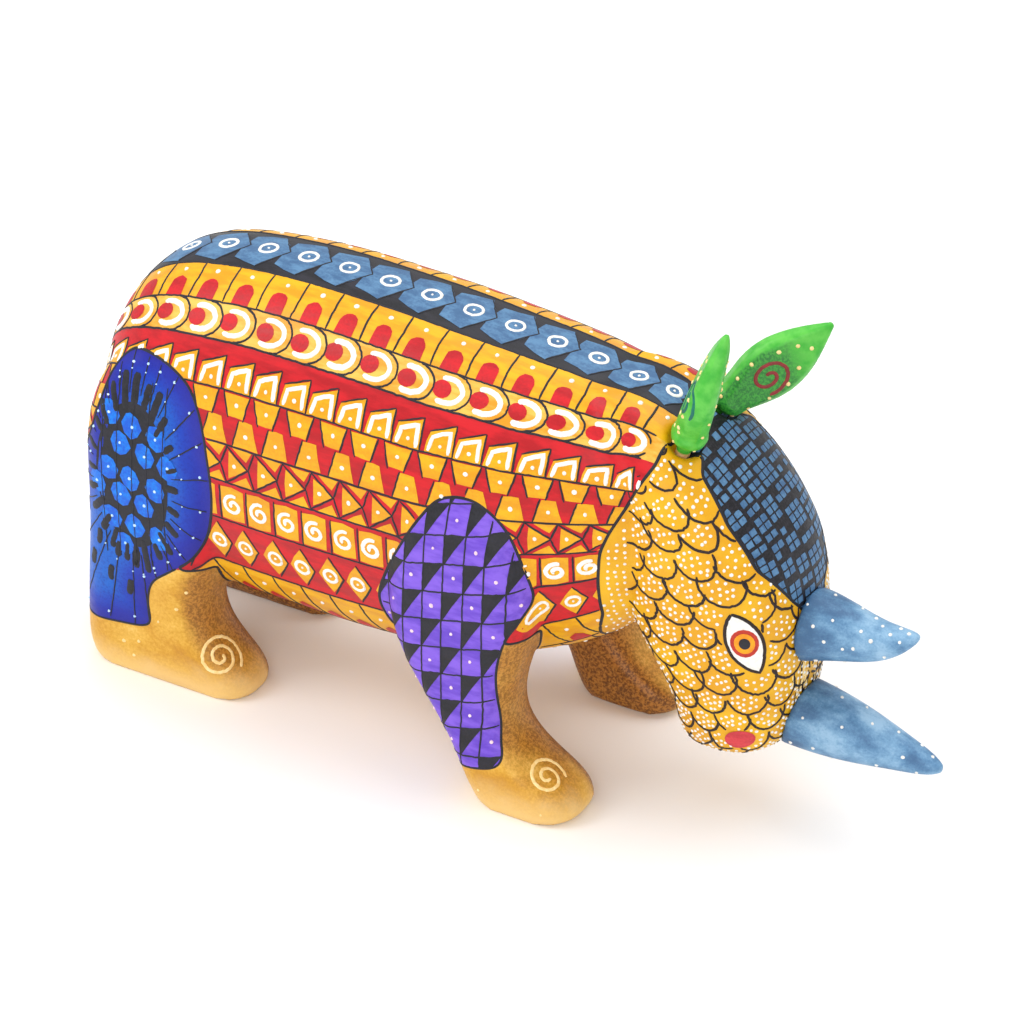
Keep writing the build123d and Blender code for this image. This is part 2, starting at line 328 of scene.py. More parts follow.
class Finish:
    """One material: its colour, gloss and bump, built from sums on the wood's own coordinates."""

    def __init__(self, name):
        self.material = bpy.data.materials.new(name)
        self.material.use_nodes = True
        self.tree = self.material.node_tree
        self.tree.nodes.clear()
        self.shader = self.node("ShaderNodeBsdfPrincipled")
        self.out = self.node("ShaderNodeOutputMaterial")
        self.join(self.shader.outputs[0], self.out.inputs[0])
        self.place = self.node("ShaderNodeTexCoord").outputs["Object"]

    def node(self, kind):
        return self.tree.nodes.new(kind)

    def join(self, value, socket):
        if isinstance(value, (int, float, tuple)):
            socket.default_value = value
        else:
            self.tree.links.new(value, socket)

    def sum(self, what, a, b=0.0, c=0.0):
        node = self.node("ShaderNodeMath")
        node.operation = what
        for value, socket in zip((a, b, c), node.inputs):
            self.join(value, socket)
        return node.outputs[0]

    def field(self, name):
        """A distance that is stored on the skin."""
        node = self.node("ShaderNodeAttribute")
        node.attribute_name = name
        return node.outputs["Fac"]

    def noise(self, size, detail=3.0, stretch=(1, 1, 1), rough=0.5):
        """Cloudy noise from 0 to 1 whose lumps are about this many millimetres across."""
        turn = self.node("ShaderNodeMapping")
        turn.inputs["Scale"].default_value = tuple(1 / (size * MM * s) for s in stretch)
        self.join(self.place, turn.inputs["Vector"])
        node = self.node("ShaderNodeTexNoise")
        node.inputs["Scale"].default_value = 1.0
        node.inputs["Detail"].default_value = detail
        node.inputs["Roughness"].default_value = rough
        self.join(turn.outputs[0], node.inputs["Vector"])
        return node.outputs["Fac"]

    def slide(self, value, low, high, to_low=0.0, to_high=1.0):
        """A value eased from one range to another."""
        node = self.node("ShaderNodeMapRange")
        node.interpolation_type = "SMOOTHSTEP"
        for number, socket in zip((value, low, high, to_low, to_high), node.inputs):
            self.join(number, socket)
        return node.outputs[0]

    def mix(self, share, under, over):
        """One colour covered by a share of another."""
        node = self.node("ShaderNodeMix")
        node.data_type = "RGBA"
        self.join(share, node.inputs[0])
        self.join(under, node.inputs[6])
        self.join(over, node.inputs[7])
        return node.outputs[2]

    def ramp(self, share, stops, steps=False):
        """A colour picked from stops along a share, blended or in plain steps."""
        node = self.node("ShaderNodeValToRGB")
        node.color_ramp.interpolation = "CONSTANT" if steps else "LINEAR"
        marks = node.color_ramp.elements
        while len(marks) < len(stops):
            marks.new(1.0)
        for mark, (at, colour) in zip(marks, stops):
            mark.position = at
            mark.color = colour
        self.join(share, node.inputs[0])
        return node.outputs[0]

    def weigh(self, *parts):
        """The sum of some values, each times its share."""
        total = self.sum("MULTIPLY", *parts[0])
        for part in parts[1:]:
            total = self.sum("ADD", total, self.sum("MULTIPLY", *part))
        return total

    def shade(self, value, low, high, under, over):
        """One colour where a value is low, turning into another where it is high."""
        return self.mix(self.slide(value, low, high), under, over)

    def along(self, way, start=(0, 0, 0)):
        """How far a place lies along a direction from a start, in metres."""
        result = self.place
        for what, other in (("SUBTRACT", start), ("DOT_PRODUCT", way)):
            node = self.node("ShaderNodeVectorMath")
            node.operation = what
            self.join(result, node.inputs[0])
            self.join(tuple(other), node.inputs[1])
            result = node.outputs["Value" if what == "DOT_PRODUCT" else "Vector"]
        return result

    def dress(self, colour, rough=0.42, height=None, depth=0.05, gloss=0.5):
        """The finished material; its bump is this many millimetres deep."""
        self.join(colour, self.shader.inputs["Base Color"])
        self.join(rough, self.shader.inputs["Roughness"])
        self.shader.inputs["Specular IOR Level"].default_value = gloss
        if height is not None:
            bump = self.node("ShaderNodeBump")
            bump.inputs["Strength"].default_value = 1.0
            bump.inputs["Distance"].default_value = depth * MM
            self.join(height, bump.inputs["Height"])
            self.join(bump.outputs[0], self.shader.inputs["Normal"])
        return self.material


STREAK, EVEN = (4, 1, 1), (1, 1, 1)  # how many times longer than wide a noise's lumps are


def brushed(name, colour, darker, rough=0.42, size=3.5, streak=STREAK):
    """Brushed acrylic: one colour that thins and pools along the strokes."""
    f = Finish(name)
    pools = f.noise(size, 4.0, streak, 0.6)
    speck = f.noise(0.7, 2.0)
    worn = f.shade(f.weigh((pools, 0.75), (speck, 0.25)), 0.38, 0.66, darker, colour)
    sheen = f.slide(pools, 0.3, 0.7, rough - 0.07, rough + 0.1)
    return f.dress(worn, sheen, f.sum("ADD", pools, speck), gloss=0.35)


YELLOW, YELLOW_DEEP = ink(232, 172, 6), ink(218, 148, 6)
GOLD, GOLD_PALE = ink(220, 146, 20), ink(234, 186, 80)
RED, RED_DEEP = ink(204, 14, 28), ink(172, 8, 22)
BLACK, BLACK_WORN = ink(22, 22, 28), ink(38, 37, 46)
WHITE, WHITE_THIN = ink(250, 249, 246), ink(232, 228, 220)
SLATE, SLATE_DEEP = ink(88, 130, 168), ink(60, 98, 138)

yellow_paint = brushed("yellow_paint", YELLOW, YELLOW_DEEP)
red_paint = brushed("red_paint", RED, RED_DEEP)
black_paint = brushed("black_line_paint", BLACK_WORN, BLACK, 0.5)
white_paint = brushed("white_paint", WHITE, WHITE_THIN, 0.4, 1.5, EVEN)
slate_paint = brushed("slate_blue_paint", SLATE, SLATE_DEEP, 0.45, 2.5, (2, 1, 1))
cyan_paint = brushed("bright_blue_paint", ink(0, 122, 222), ink(2, 84, 200), 0.4, 2.5, EVEN)
iris_red_paint = brushed("eye_red_paint", ink(196, 56, 34), ink(170, 36, 24))
iris_orange_paint = brushed("eye_orange_paint", ink(250, 168, 8), ink(238, 136, 6))
mouth_paint = brushed("mouth_paint", ink(214, 62, 70), ink(188, 40, 52), 0.45)
scale_line_paint = brushed("scale_line_paint", ink(48, 28, 22), ink(26, 16, 16), 0.5)
ice_paint = brushed("ice_white_paint", ink(222, 240, 252), ink(176, 216, 246), 0.4, 1.2, EVEN)
blush_paint = brushed("blush_white_paint", ink(252, 232, 232), ink(238, 200, 214), 0.4, 1.2, EVEN)
brown_red_paint = brushed("brown_red_paint", ink(156, 44, 50), ink(122, 44, 40), 0.45)
teal_paint = brushed("teal_paint", ink(10, 120, 96), ink(8, 92, 84), 0.45)
cream_paint = brushed("cream_paint", ink(250, 228, 168), ink(244, 206, 130), 0.5, 1.2, EVEN)


def band_colours(f, girth, pools):
    """The ground colour of each band round the torso."""
    total = BANDS[-1]
    light = (BLACK_WORN, YELLOW, GOLD_PALE) + 5 * (RED,) + 2 * (YELLOW,)
    deep = (BLACK, YELLOW_DEEP, GOLD) + 5 * (RED_DEEP,) + 2 * (YELLOW_DEEP,)
    share = f.sum("DIVIDE", girth, total)
    starts = [at / total for at in BANDS]
    bright, dull = (f.ramp(share, list(zip(starts, row)), True) for row in (light, deep))
    return f.shade(pools, 0.36, 0.64, dull, bright)


def leg_colour(f, cloud, sponge):
    """Sponged ochre, with painted shade on the legs' inner faces and on their fronts, and paler towards the
    soles.
    """
    ochre = f.ramp(f.slide(f.weigh((sponge, 0.35), (cloud, 0.65)), 0.26, 0.74), [
        (0.0, ink(186, 126, 30)), (0.4, ink(206, 150, 42)),
        (0.75, ink(222, 172, 66)), (1.0, ink(238, 198, 108)),
    ])
    # A dark umber, used as painted shade on the legs' fronts and inner faces
    shade_umber = f.shade(sponge, 0.4, 0.6, ink(110, 66, 22), ink(178, 118, 48))
    # Painted shade on forward-facing faces, broken up by the cloud noise
    front = f.sum("SUBTRACT", f.field("front"), f.sum("MULTIPLY", cloud, 0.6))
    ochre = f.mix(f.slide(front, -0.1, 0.5, 0.0, 0.75), ochre, shade_umber)
    # Paler towards the soles
    rise = f.sum("ADD", f.along((0, 0, 1)), f.sum("MULTIPLY", cloud, 0.016))
    ochre = f.mix(f.slide(rise, 0.009, 0.019, 0.7, 0.0), ochre, ink(244, 208, 138))
    # Painted shade on the faces that look in between the legs
    return f.shade(f.field("inner"), 0.15, 0.6, ochre, shade_umber)


def hind_colour(f, cloud, sponge):
    """Blue that lightens from the panel's rim to its heart."""
    depth = f.sum("ADD", f.field("hind"), f.sum("MULTIPLY", f.sum("SUBTRACT", cloud, 0.5), 5.0))
    blue = f.ramp(f.sum("DIVIDE", depth, 14.0), [
        (0.0, ink(26, 24, 140)), (0.25, ink(14, 34, 156)), (0.5, ink(4, 56, 172)), (0.85, ink(2, 92, 190)),
    ])
    return f.mix(f.slide(sponge, 0.45, 0.7, 0.0, 0.5), blue, ink(8, 24, 132))


def skin_paint():
    """The broad fields of colour on the carved block."""
    f = Finish("carved_and_painted_wood")
    wander = f.sum("MULTIPLY", f.sum("SUBTRACT", f.noise(4.0, 2.0), 0.5), 1.4)
    pools = f.noise(3.2, 4.0, STREAK, 0.6)
    cloud = f.noise(9.0, 4.0, (1.6, 1, 1))
    sponge = f.noise(0.8, 3.0, rough=0.7)
    speck = f.noise(0.45, 2.0)

    def unsteady(field, share):
        """A field whose edges wander a little, as a brush does."""
        return f.sum("ADD", f.field(field), f.sum("MULTIPLY", wander, share))

    colour = band_colours(f, unsteady("girth", 0.35), pools)
    violet = f.shade(pools, 0.35, 0.65, ink(98, 62, 190), ink(128, 90, 214))
    sun = f.shade(pools, 0.35, 0.65, YELLOW_DEEP, YELLOW)
    honey = f.shade(cloud, 0.3, 0.7, ink(218, 154, 8), ink(230, 176, 14))
    night = f.shade(sponge, 0.45, 0.6, ink(16, 16, 22), ink(36, 34, 42))
    for field, over, share, soft in (
        ("leg", leg_colour(f, cloud, sponge), 0.3, 0.12), ("hind", hind_colour(f, cloud, sponge), 0.3, 0.1),
        ("fore", violet, 0.3, 0.1), ("rump", sun, 0.0, 0.1), ("head", honey, 0.0, 0.1),
        ("crown", night, 0.3, 0.1),
    ):
        colour = f.shade(unsteady(field, share), -soft, soft, colour, over)
    height = f.weigh((pools, 0.7), (speck, 0.35), (cloud, 1.0))
    return f.dress(colour, f.slide(pools, 0.3, 0.7, 0.36, 0.5), height, 0.07, 0.35)


body.data.materials.append(skin_paint())


# ---- laying paint --------------------------------------------------------------------------
NOWHERE = -99.0  # how deep inside a region a place lies that misses the wood


def always(places):
    """A region that takes in the whole skin."""
    return np.full(len(places), 9.0)


def within(field, margin=0.0):
    """A region of the painting, drawn in by a margin."""
    def keep(places):
        return fields(places)[field] - margin
    return keep


def press(flat, chart, keep):
    """Flat places pressed on the wood: places, facings, and how deep in the region they lie."""
    places, facings, found = chart(flat)
    return places, facings, np.where(found, keep(places), NOWHERE)


def paint_piece(bm, name, material, body_name="figure"):
    """A layer of paint as a piece of its own."""
    mesh = bpy.data.meshes.new(name)
    write_smooth(bm, mesh)
    mesh.materials.append(material)
    return new_object(name, mesh, body_name)


def lies_well(shape, chart):
    """Whether a shape lands whole on the wood, without being stretched or wrapped round an edge."""
    corners = np.array(shape, float)
    places, facings, found = chart(corners)
    if not found.all():
        return False
    flat_run = np.linalg.norm(corners - np.roll(corners, 1, 0), axis=1).sum()
    wood_run = np.linalg.norm(places - np.roll(places, 1, 0), axis=1).sum()
    return wood_run < 1.55 * flat_run and np.linalg.norm(facings.mean(0)) > 0.9


def lay_patches(name, shapes, chart, keep, material, lift=0.07, cuts=0, fussy=True):
    """Flat shapes of colour. A fussy painter leaves out those that don't lie well."""
    bm = bmesh.new()
    for shape in shapes:
        if not fussy or lies_well(shape, chart):
            bm.faces.new([bm.verts.new((x, y, 0)) for x, y in shape])
    bmesh.ops.poke(bm, faces=bm.faces)
    if cuts:
        bmesh.ops.subdivide_edges(bm, edges=bm.edges, cuts=cuts, use_grid_fill=True)
    places, facings, depth = press(np.array([v.co[:2] for v in bm.verts]), chart, keep)
    raised = places + facings * lift
    bm.verts.ensure_lookup_table()
    lost = []
    for v in bm.verts:
        here, spot = depth[v.index], raised[v.index]
        if here < 0:
            near = max((e.other_vert(v).index for e in v.link_edges), key=lambda i: depth[i])
            if depth[near] <= 0 or here < NOWHERE / 2:
                lost.append(v)
                continue
            share = depth[near] / (depth[near] - here)
            spot = raised[near] + (spot - raised[near]) * share
        v.co = spot * MM
    bmesh.ops.delete(bm, geom=lost, context="VERTS")
    for face in bm.faces:
        face.normal_update()
    if sum(face.normal.dot(Vector(facings[face.verts[0].index])) for face in bm.faces) < 0:
        bmesh.ops.reverse_faces(bm, faces=bm.faces)
    return paint_piece(bm, name, material)


def spaced(line, step):
    """A line's points, with more added so that none is further than a step from the next."""
    line = np.array(line, float)
    out = [line[:1]]
    for a, b in zip(line[:-1], line[1:]):
        n = max(1, int(math.ceil(np.hypot(*(b - a)) / step)))
        out.append(a + (b - a) * (np.arange(1, n + 1) / n)[:, None])
    return np.concatenate(out)


def lay_strokes(name, lines, chart, keep, material, width, step=1.3, wobble=0.06, crest=0.2,
                body_name="figure"):
    """Brush lines: low rounded strips that follow the wood and narrow at both ends."""
    flats = []
    for line in lines:
        flat = spaced(line, step)
        shaken = [(random.gauss(0, wobble), random.gauss(0, wobble)) for _ in flat[1:-1]]
        flat[1:-1] += np.array(shaken).reshape(-1, 2)
        flats.append(flat)
    places, facings, depth = press(np.concatenate(flats), chart, keep)
    bm = bmesh.new()
    start = 0
    for flat in flats:
        run = []
        for i in range(start, start + len(flat) + 1):
            on = i < start + len(flat) and depth[i] > 0
            if on and run and np.linalg.norm(places[i] - places[run[-1]]) > 2.4 * step:
                on = False
            if on:
                run.append(i)
                continue
            if len(run) > 1:
                press_strip(bm, places[run], facings[run], width * random.uniform(0.9, 1.12), crest)
            run = []
        start += len(flat)
    return paint_piece(bm, name, material, body_name)


# Across a strip as a share of its width, and up as a share of its crest
PROFILE = ((-0.5, -0.1), (-0.3, 0.85), (0.3, 0.85), (0.5, -0.1))
STRIP_END = 0.6  # how wide a strip is at its two ends, as a share of its width


def press_strip(bm, places, facings, width, crest):
    """One strip of paint along a run of places."""
    last = len(places) - 1
    along = np.gradient(places, axis=0)
    across = np.cross(facings, along)
    across /= np.linalg.norm(across, axis=1)[:, None] + 1e-12
    strip = bmesh.ops.create_grid(bm, x_segments=last, y_segments=3, size=1)["verts"]
    for v in strip:
        i = round((v.co.x + 1) / 2 * last)
        share, up = PROFILE[round((v.co.y + 1) / 2 * 3)]
        swell = STRIP_END if i in (0, last) else 1.0
        v.co = (places[i] + across[i] * share * width * swell + facings[i] * up * crest) * MM


def lay_dots(name, dots, chart, keep, material, height=0.28, sides=8, body_name="figure"):
    """Round blobs from the tip of a stick: each is (x, y, radius)."""
    dots = np.array(dots, float)
    places, facings, depth = press(dots[:, :2], chart, keep)
    bm = bmesh.new()
    for place, facing, inside, radius in zip(places, facings, depth, dots[:, 2]):
        if inside < radius * 0.5:
            continue
        turn = Vector(facing).to_track_quat("Z", "Y").to_matrix().to_4x4()
        squash = Matrix.Diagonal((random.uniform(0.88, 1.12), random.uniform(0.88, 1.12), 1, 1))
        spot = Matrix.Translation(Vector(place) * MM) @ turn @ squash
        bmesh.ops.create_cone(bm, cap_ends=True, segments=sides, radius1=radius * MM,
                              radius2=radius * 0.5 * MM, depth=2 * height * MM, matrix=spot)
    return paint_piece(bm, name, material, body_name)


SHORTEST_TRACE = 8  # crossed edges of the skin that make a line worth drawing


def trace(field, allowed, name, material, width, crest=0.2):
    """A brush line laid where a field of the skin changes sign."""
    mesh = body.data
    level = regions[field]
    ends = np.empty(len(mesh.edges) * 2, int)
    mesh.edges.foreach_get("vertices", ends)
    one, other = ends.reshape(-1, 2).T
    share = level[one] / (level[one] - level[other] + 1e-12)
    places = body_spots[one] + share[:, None] * (body_spots[other] - body_spots[one])
    facings = normals[one] + normals[other]
    facings /= np.linalg.norm(facings, axis=1)[:, None] + 1e-12
    cut = np.flatnonzero((level[one] > 0) != (level[other] > 0))
    good = set(cut[allowed(places[cut]) > 0].tolist())
    edge_number = {tuple(sorted(pair)): i for i, pair in enumerate(zip(one.tolist(), other.tolist()))}
    nexts = {i: [] for i in good}
    for face in mesh.polygons:
        crossed = [i for i in (edge_number[tuple(sorted(key))] for key in face.edge_keys) if i in good]
        if len(crossed) == 2:
            nexts[crossed[0]].append(crossed[1])
            nexts[crossed[1]].append(crossed[0])
    bm = bmesh.new()
    left = set(good)
    for start in sorted(good, key=lambda i: (len(nexts[i]) != 1, i)):
        if start not in left:
            continue
        run, here = [], start
        while here is not None:
            run.append(here)
            left.discard(here)
            here = next((i for i in nexts[here] if i in left), None)
        if start in nexts[run[-1]]:
            run.append(start)
        if len(run) < SHORTEST_TRACE:
            continue
        line, out = places[run], facings[run]
        for _ in range(3):
            line[1:-1] = (line[:-2] + 2 * line[1:-1] + line[2:]) / 4
            out[1:-1] = (out[:-2] + 2 * out[1:-1] + out[2:]) / 4
        press_strip(bm, line, out, width, crest)
    return paint_piece(bm, name, material)


# ---- motifs, drawn flat --------------------------------------------------------------------
def jig(amount=0.25):
    """A small slip of the hand."""
    return random.uniform(-amount, amount)


def oval(x, y, across, along, start=0, end=360, count=14, tilt=0.0):
    """Points round an oval or part of one."""
    angles = np.radians(np.linspace(start, end, count, endpoint=end - start < 360))
    px, py = across * np.cos(angles), along * np.sin(angles)
    c, s = math.cos(tilt), math.sin(tilt)
    return np.stack([x + px * c - py * s, y + px * s + py * c], 1)


def curl(x, y, outer, inner, turns, start=0.0, count=22, flip=1):
    """A spiral drawn inwards."""
    t = np.linspace(0, 1, count)
    r = outer + (inner - outer) * t
    a = math.radians(start) + flip * turns * 2 * math.pi * t
    return np.stack([x + r * np.cos(a), y + r * np.sin(a)], 1)


def bow(x, y, across, along, reach, count):
    """An open arc that bulges forwards, out to this many degrees on either side."""
    angles = np.radians(np.linspace(-reach, reach, count))
    return [(x + across * math.cos(a), y + along * math.sin(a)) for a in angles]


# ---- bands round the torso -----------------------------------------------------------------
work = SimpleNamespace(
    yellow=[], red=[], slate=[], black=[], fine=[], dots=[], white=[], white_arcs=[], white_rings=[])
FIRST, LAST = 3.0, float(np.interp(60.0, TORSO_X, ALONG))


def cells(pitch, start):
    """Where the cells of a band start, unevenly spaced."""
    at = start
    while at < LAST:
        yield at + jig(0.35)
        at += pitch


def band_row(band, side):
    """For one band: how a shape is drawn into it, and how far round the torso a share of it is."""
    top, bottom = BANDS[band], BANDS[band + 1]

    def level(share):
        return side * (top + share * (bottom - top))

    def drawn(shape, along=0.0, loose=0.15):
        return [(u + along + jig(loose), level(share) + jig(loose)) for u, share in shape]
    return drawn, level


def doorways(side, shift):
    """Red doorways in yellow, each under a white dot."""
    drawn, level = band_row(1, side)
    arch = [(5.3 - 2.5 * math.cos(a), 0.66 - 0.2 * math.sin(a)) for a in (0.5, 1.1, 1.57, 2.0, 2.6)]
    doorway = [(2.7, 1.0), (2.8, 0.66), *arch, (7.9, 0.66), (8.0, 1.0), (5.4, 1.0)]
    for u in cells(10.7, 5 + shift):
        work.black.append(drawn([(u, 0.02), (u + jig(0.5), 0.5), (u, 0.99)]))
        work.dots.append((u + 5.3 + jig(0.4), level(0.24), random.uniform(0.75, 1.0)))
        work.red.append(drawn(doorway, u))


def scallops(side, shift):
    """Overlapping yellow scales with a white arc and a red heart."""
    drawn, level = band_row(2, side)
    for u in cells(10.9, 7 + shift):
        work.black.append(drawn(bow(4.2, 0.5, 5.9, 0.5, 88, 13), u, 0.08))
        work.white_arcs.append(drawn(bow(3.2, 0.5, 4.6, 0.33, 118, 17), u, 0.05))
        work.red.append(oval(u + 2.0, level(0.5), 2.7, 2.4, tilt=jig(0.5)) + np.array([jig(), jig()]))


def gables(side, shift):
    """Slanting yellow gables on red, lined in white."""
    drawn, level = band_row(3, side)
    gable = [(0.5, 0.99), (0.9, 0.75), (1.5, 0.52), (5.0, 0.42),
             (8.4, 0.30), (8.5, 0.65), (8.5, 0.99), (4.5, 0.99)]
    gable_line = [(1.7, 0.95), (2.5, 0.62), (4.8, 0.53), (7.2, 0.45), (7.3, 0.7), (7.4, 0.95)]
    for u in cells(8.8, 4 + shift):
        work.yellow.append(drawn(gable, u, 0.12))
        work.white.append(drawn(gable_line, u, 0.1))
        work.dots.append((u + 4.9, level(0.8), random.uniform(0.7, 0.9)))
        work.black.append(drawn([(8.6, 0.27), (8.7, 0.99)], u, 0.12))
        work.fine.append(drawn([(1.2, 0.52), (8.5, 0.27)], u, 0.12))


def teeth(side, shift):
    """Two rows of yellow teeth that point at each other, on red."""
    drawn, level = band_row(4, side)
    upper = [(0.4, 0.03), (4.4, 0.03), (8.5, 0.03), (7.8, 0.22),
             (7.0, 0.44), (4.8, 0.44), (2.5, 0.44), (1.4, 0.22)]
    lower = [(6.1, 0.48), (8.2, 0.47), (10.2, 0.48), (11.2, 0.72),
             (12.2, 0.97), (8.2, 0.97), (4.3, 0.97), (5.2, 0.72)]
    for u in cells(10.0, 6 + shift):
        work.yellow.append(drawn(upper, u))
        work.yellow.append(drawn(lower, u))
        work.dots.append((u + 4.7, level(0.22), random.uniform(0.8, 1.0)))
        work.dots.append((u + 8.3, level(0.74), random.uniform(0.8, 1.0)))
        for line in ([(0.2, 0.02), (2.3, 0.47)], [(8.7, 0.02), (7.1, 0.47)], [(5.9, 0.47), (4.1, 0.98)]):
            work.black.append(drawn(line, u))


def arrows(side, shift):
    """Yellow arrow heads between triangles, on red."""
    drawn, level = band_row(5, side)
    head = [(1.2, 0.14), (1.1, 0.5), (1.2, 0.86), (4.0, 0.7), (6.9, 0.5), (4.0, 0.3)]
    upper = [(2.4, 0.03), (5.6, 0.03), (8.6, 0.03), (6.9, 0.3), (4.6, 0.17)]
    lower = [(2.4, 0.97), (5.6, 0.97), (8.6, 0.97), (6.9, 0.7), (4.6, 0.83)]
    for u in cells(9.0, 5 + shift):
        work.yellow.append(drawn(head, u))
        work.yellow.append(drawn(upper, u, 0.12))
        work.yellow.append(drawn(lower, u, 0.12))
        work.dots.append((u + 3.0, level(0.5), random.uniform(0.8, 1.0)))
        work.black.append(drawn([(0.4, 0.03), (7.3, 0.5), (9.2, 0.02)], u))
        work.black.append(drawn([(0.4, 0.97), (7.3, 0.5), (9.2, 0.98)], u))


def curls(side, shift):
    """Yellow squares, each with a white curl."""
    drawn, level = band_row(6, side)
    square = [(0.5, 0.14), (4.2, 0.10), (7.7, 0.14), (7.9, 0.5),
              (7.7, 0.93), (4.2, 0.95), (0.6, 0.93), (0.5, 0.5)]
    for u in cells(8.8, 4 + shift):
        work.yellow.append(drawn(square, u))
        work.black.append(drawn([(0.2, 0.1), (0.2, 0.99)], u))
        spiral = curl(u + 4.3, level(0.56), 3.3, 0.5, 1.45, start=-70 * side, flip=-side)
        work.white.append(spiral + np.array([jig(0.15), 0]))


def lozenges(side, shift):
    """Yellow lozenges on red, each with a white ring."""
    drawn, level = band_row(7, side)
    lozenge = [(4.4, 0.12), (6.4, 0.3), (8.2, 0.5), (6.4, 0.7),
               (4.4, 0.88), (2.4, 0.7), (0.7, 0.5), (2.4, 0.3)]
    for u in cells(8.9, 6 + shift):
        work.yellow.append(drawn(lozenge, u))
        work.white_rings.append(oval(u + 4.4, level(0.5), 2.0, 2.1, 0, 359, 16))
        work.dots.append((u + 4.4, level(0.5), 0.55))
        work.black.append(drawn([(4.6, 0.1), (8.5, 0.5), (4.6, 0.92)], u))


def caps(side, shift):
    """Yellow cells with a red cap at their lower edge."""
    drawn, level = band_row(8, side)
    cap = [(4.2, 0.99), (4.3, 0.72), (6.4, 0.58), (8.6, 0.7), (9.6, 0.99), (6.9, 1.0)]
    for u in cells(9.2, 5 + shift):
        work.black.append(drawn([(0, 0.02), (1.2, 0.5), (3.2, 0.99)], u))
        work.dots.append((u + 5.2, level(0.35), 0.85))
        work.red.append(drawn(cap, u))


def belly_dots(side, shift):
    """Plain yellow cells with two white dots."""
    drawn, level = band_row(9, side)
    for u in cells(9.2, 5 + shift):
        work.black.append(drawn([(0, 0.02), (0.4, 0.5), (0, 0.98)], u))
        work.dots.append((u + 4.6, level(0.35), 0.85))
        work.dots.append((u + 4.6, level(0.75), 0.7))


for side, _ in SIDES:
    for girth in BANDS[1:10]:
        work.black.append([(u, side * girth) for u in np.arange(FIRST - 2, LAST, 3.0)])
    for paint_band in (doorways, scallops, gables, teeth, arrows, curls, lozenges, caps, belly_dots):
        paint_band(side, 0 if side == RIGHT else 4.0)

PENTAGON = (
    (-7.0, -6.3), (-3.0, -7.6), (0.9, -8.6), (4.0, -4.4), (6.9, 0.2), (4.0, 4.0), (1.2, 7.9),
    (-3.0, 7.0), (-7.0, 5.9), (-7.2, 0),
)
for u in np.arange(LAST - 6, FIRST, -12.7):
    work.slate.append([(u + x + jig(0.3), y + jig(0.3)) for x, y in PENTAGON])
    work.fine.append([(u + x, y) for x, y in PENTAGON[2:7]])
    ring = [(2.5 + jig(0.1), 2.4 + jig(0.1), a) for a in np.linspace(0.2, 6.7, 17)]
    work.white_rings.append([(u + wide * math.cos(a), tall * math.sin(a)) for wide, tall, a in ring])
    work.dots.append((u, 0, 0.55))

on_bands = within("bands")
for name, shapes, paint, lift, fussy in (
    ("band_yellow_patches", work.yellow, yellow_paint, 0.06, True),
    ("band_red_patches", work.red, red_paint, 0.09, True),
    ("spine_blue_patches", work.slate, slate_paint, 0.08, False),
):
    lay_patches(name, shapes, torso_chart, on_bands, paint, lift, 2, fussy)
for name, lines, paint, width, step, wobble, crest in (
    ("band_black_lines", work.black, black_paint, 0.62, 1.3, 0.06, 0.17),
    ("spine_black_lines", work.fine, black_paint, 0.5, 1.3, 0.06, 0.2),
    ("band_white_arcs", work.white_arcs, white_paint, 1.5, 1.0, 0.04, 0.3),
    ("band_white_strokes", work.white, white_paint, 1.3, 1.0, 0.04, 0.3),
    ("band_white_rings", work.white_rings, white_paint, 1.0, 0.9, 0.03, 0.36),
):
    lay_strokes(name, lines, torso_chart, on_bands, paint, width, step, wobble, crest)
lay_dots("band_white_dots", work.dots, torso_chart, on_bands, white_paint)


# ---- hind and fore panels ------------------------------------------------------------------
HEART_X, HEART_Z = -99.5, 67.0  # middle of the blue panel's ring of petals
HEART_LONG, HEART_TALL = 13.0, 25.0  # how far the ring reaches along and up
PETALS = 24
LEAF = (
    (-3.6, 0.3), (-2.3, 3.3), (-0.4, 4.2), (1.9, 3.0), (3.6, -0.3), (2.5, -3.2), (0.2, -4.1), (-2.1, -2.9),
)
LOW_DABS = ((-117, 50), (-111, 44), (-105, 42), (-99, 41), (-108, 33), (-102, 30), (-114, 36))


def hind_spot(angle, reach):
    """A spot in the direction of this angle, at a share of the way out to the ring of petals."""
    return (HEART_X + HEART_LONG * reach * math.cos(angle), HEART_Z + HEART_TALL * reach * math.sin(angle))


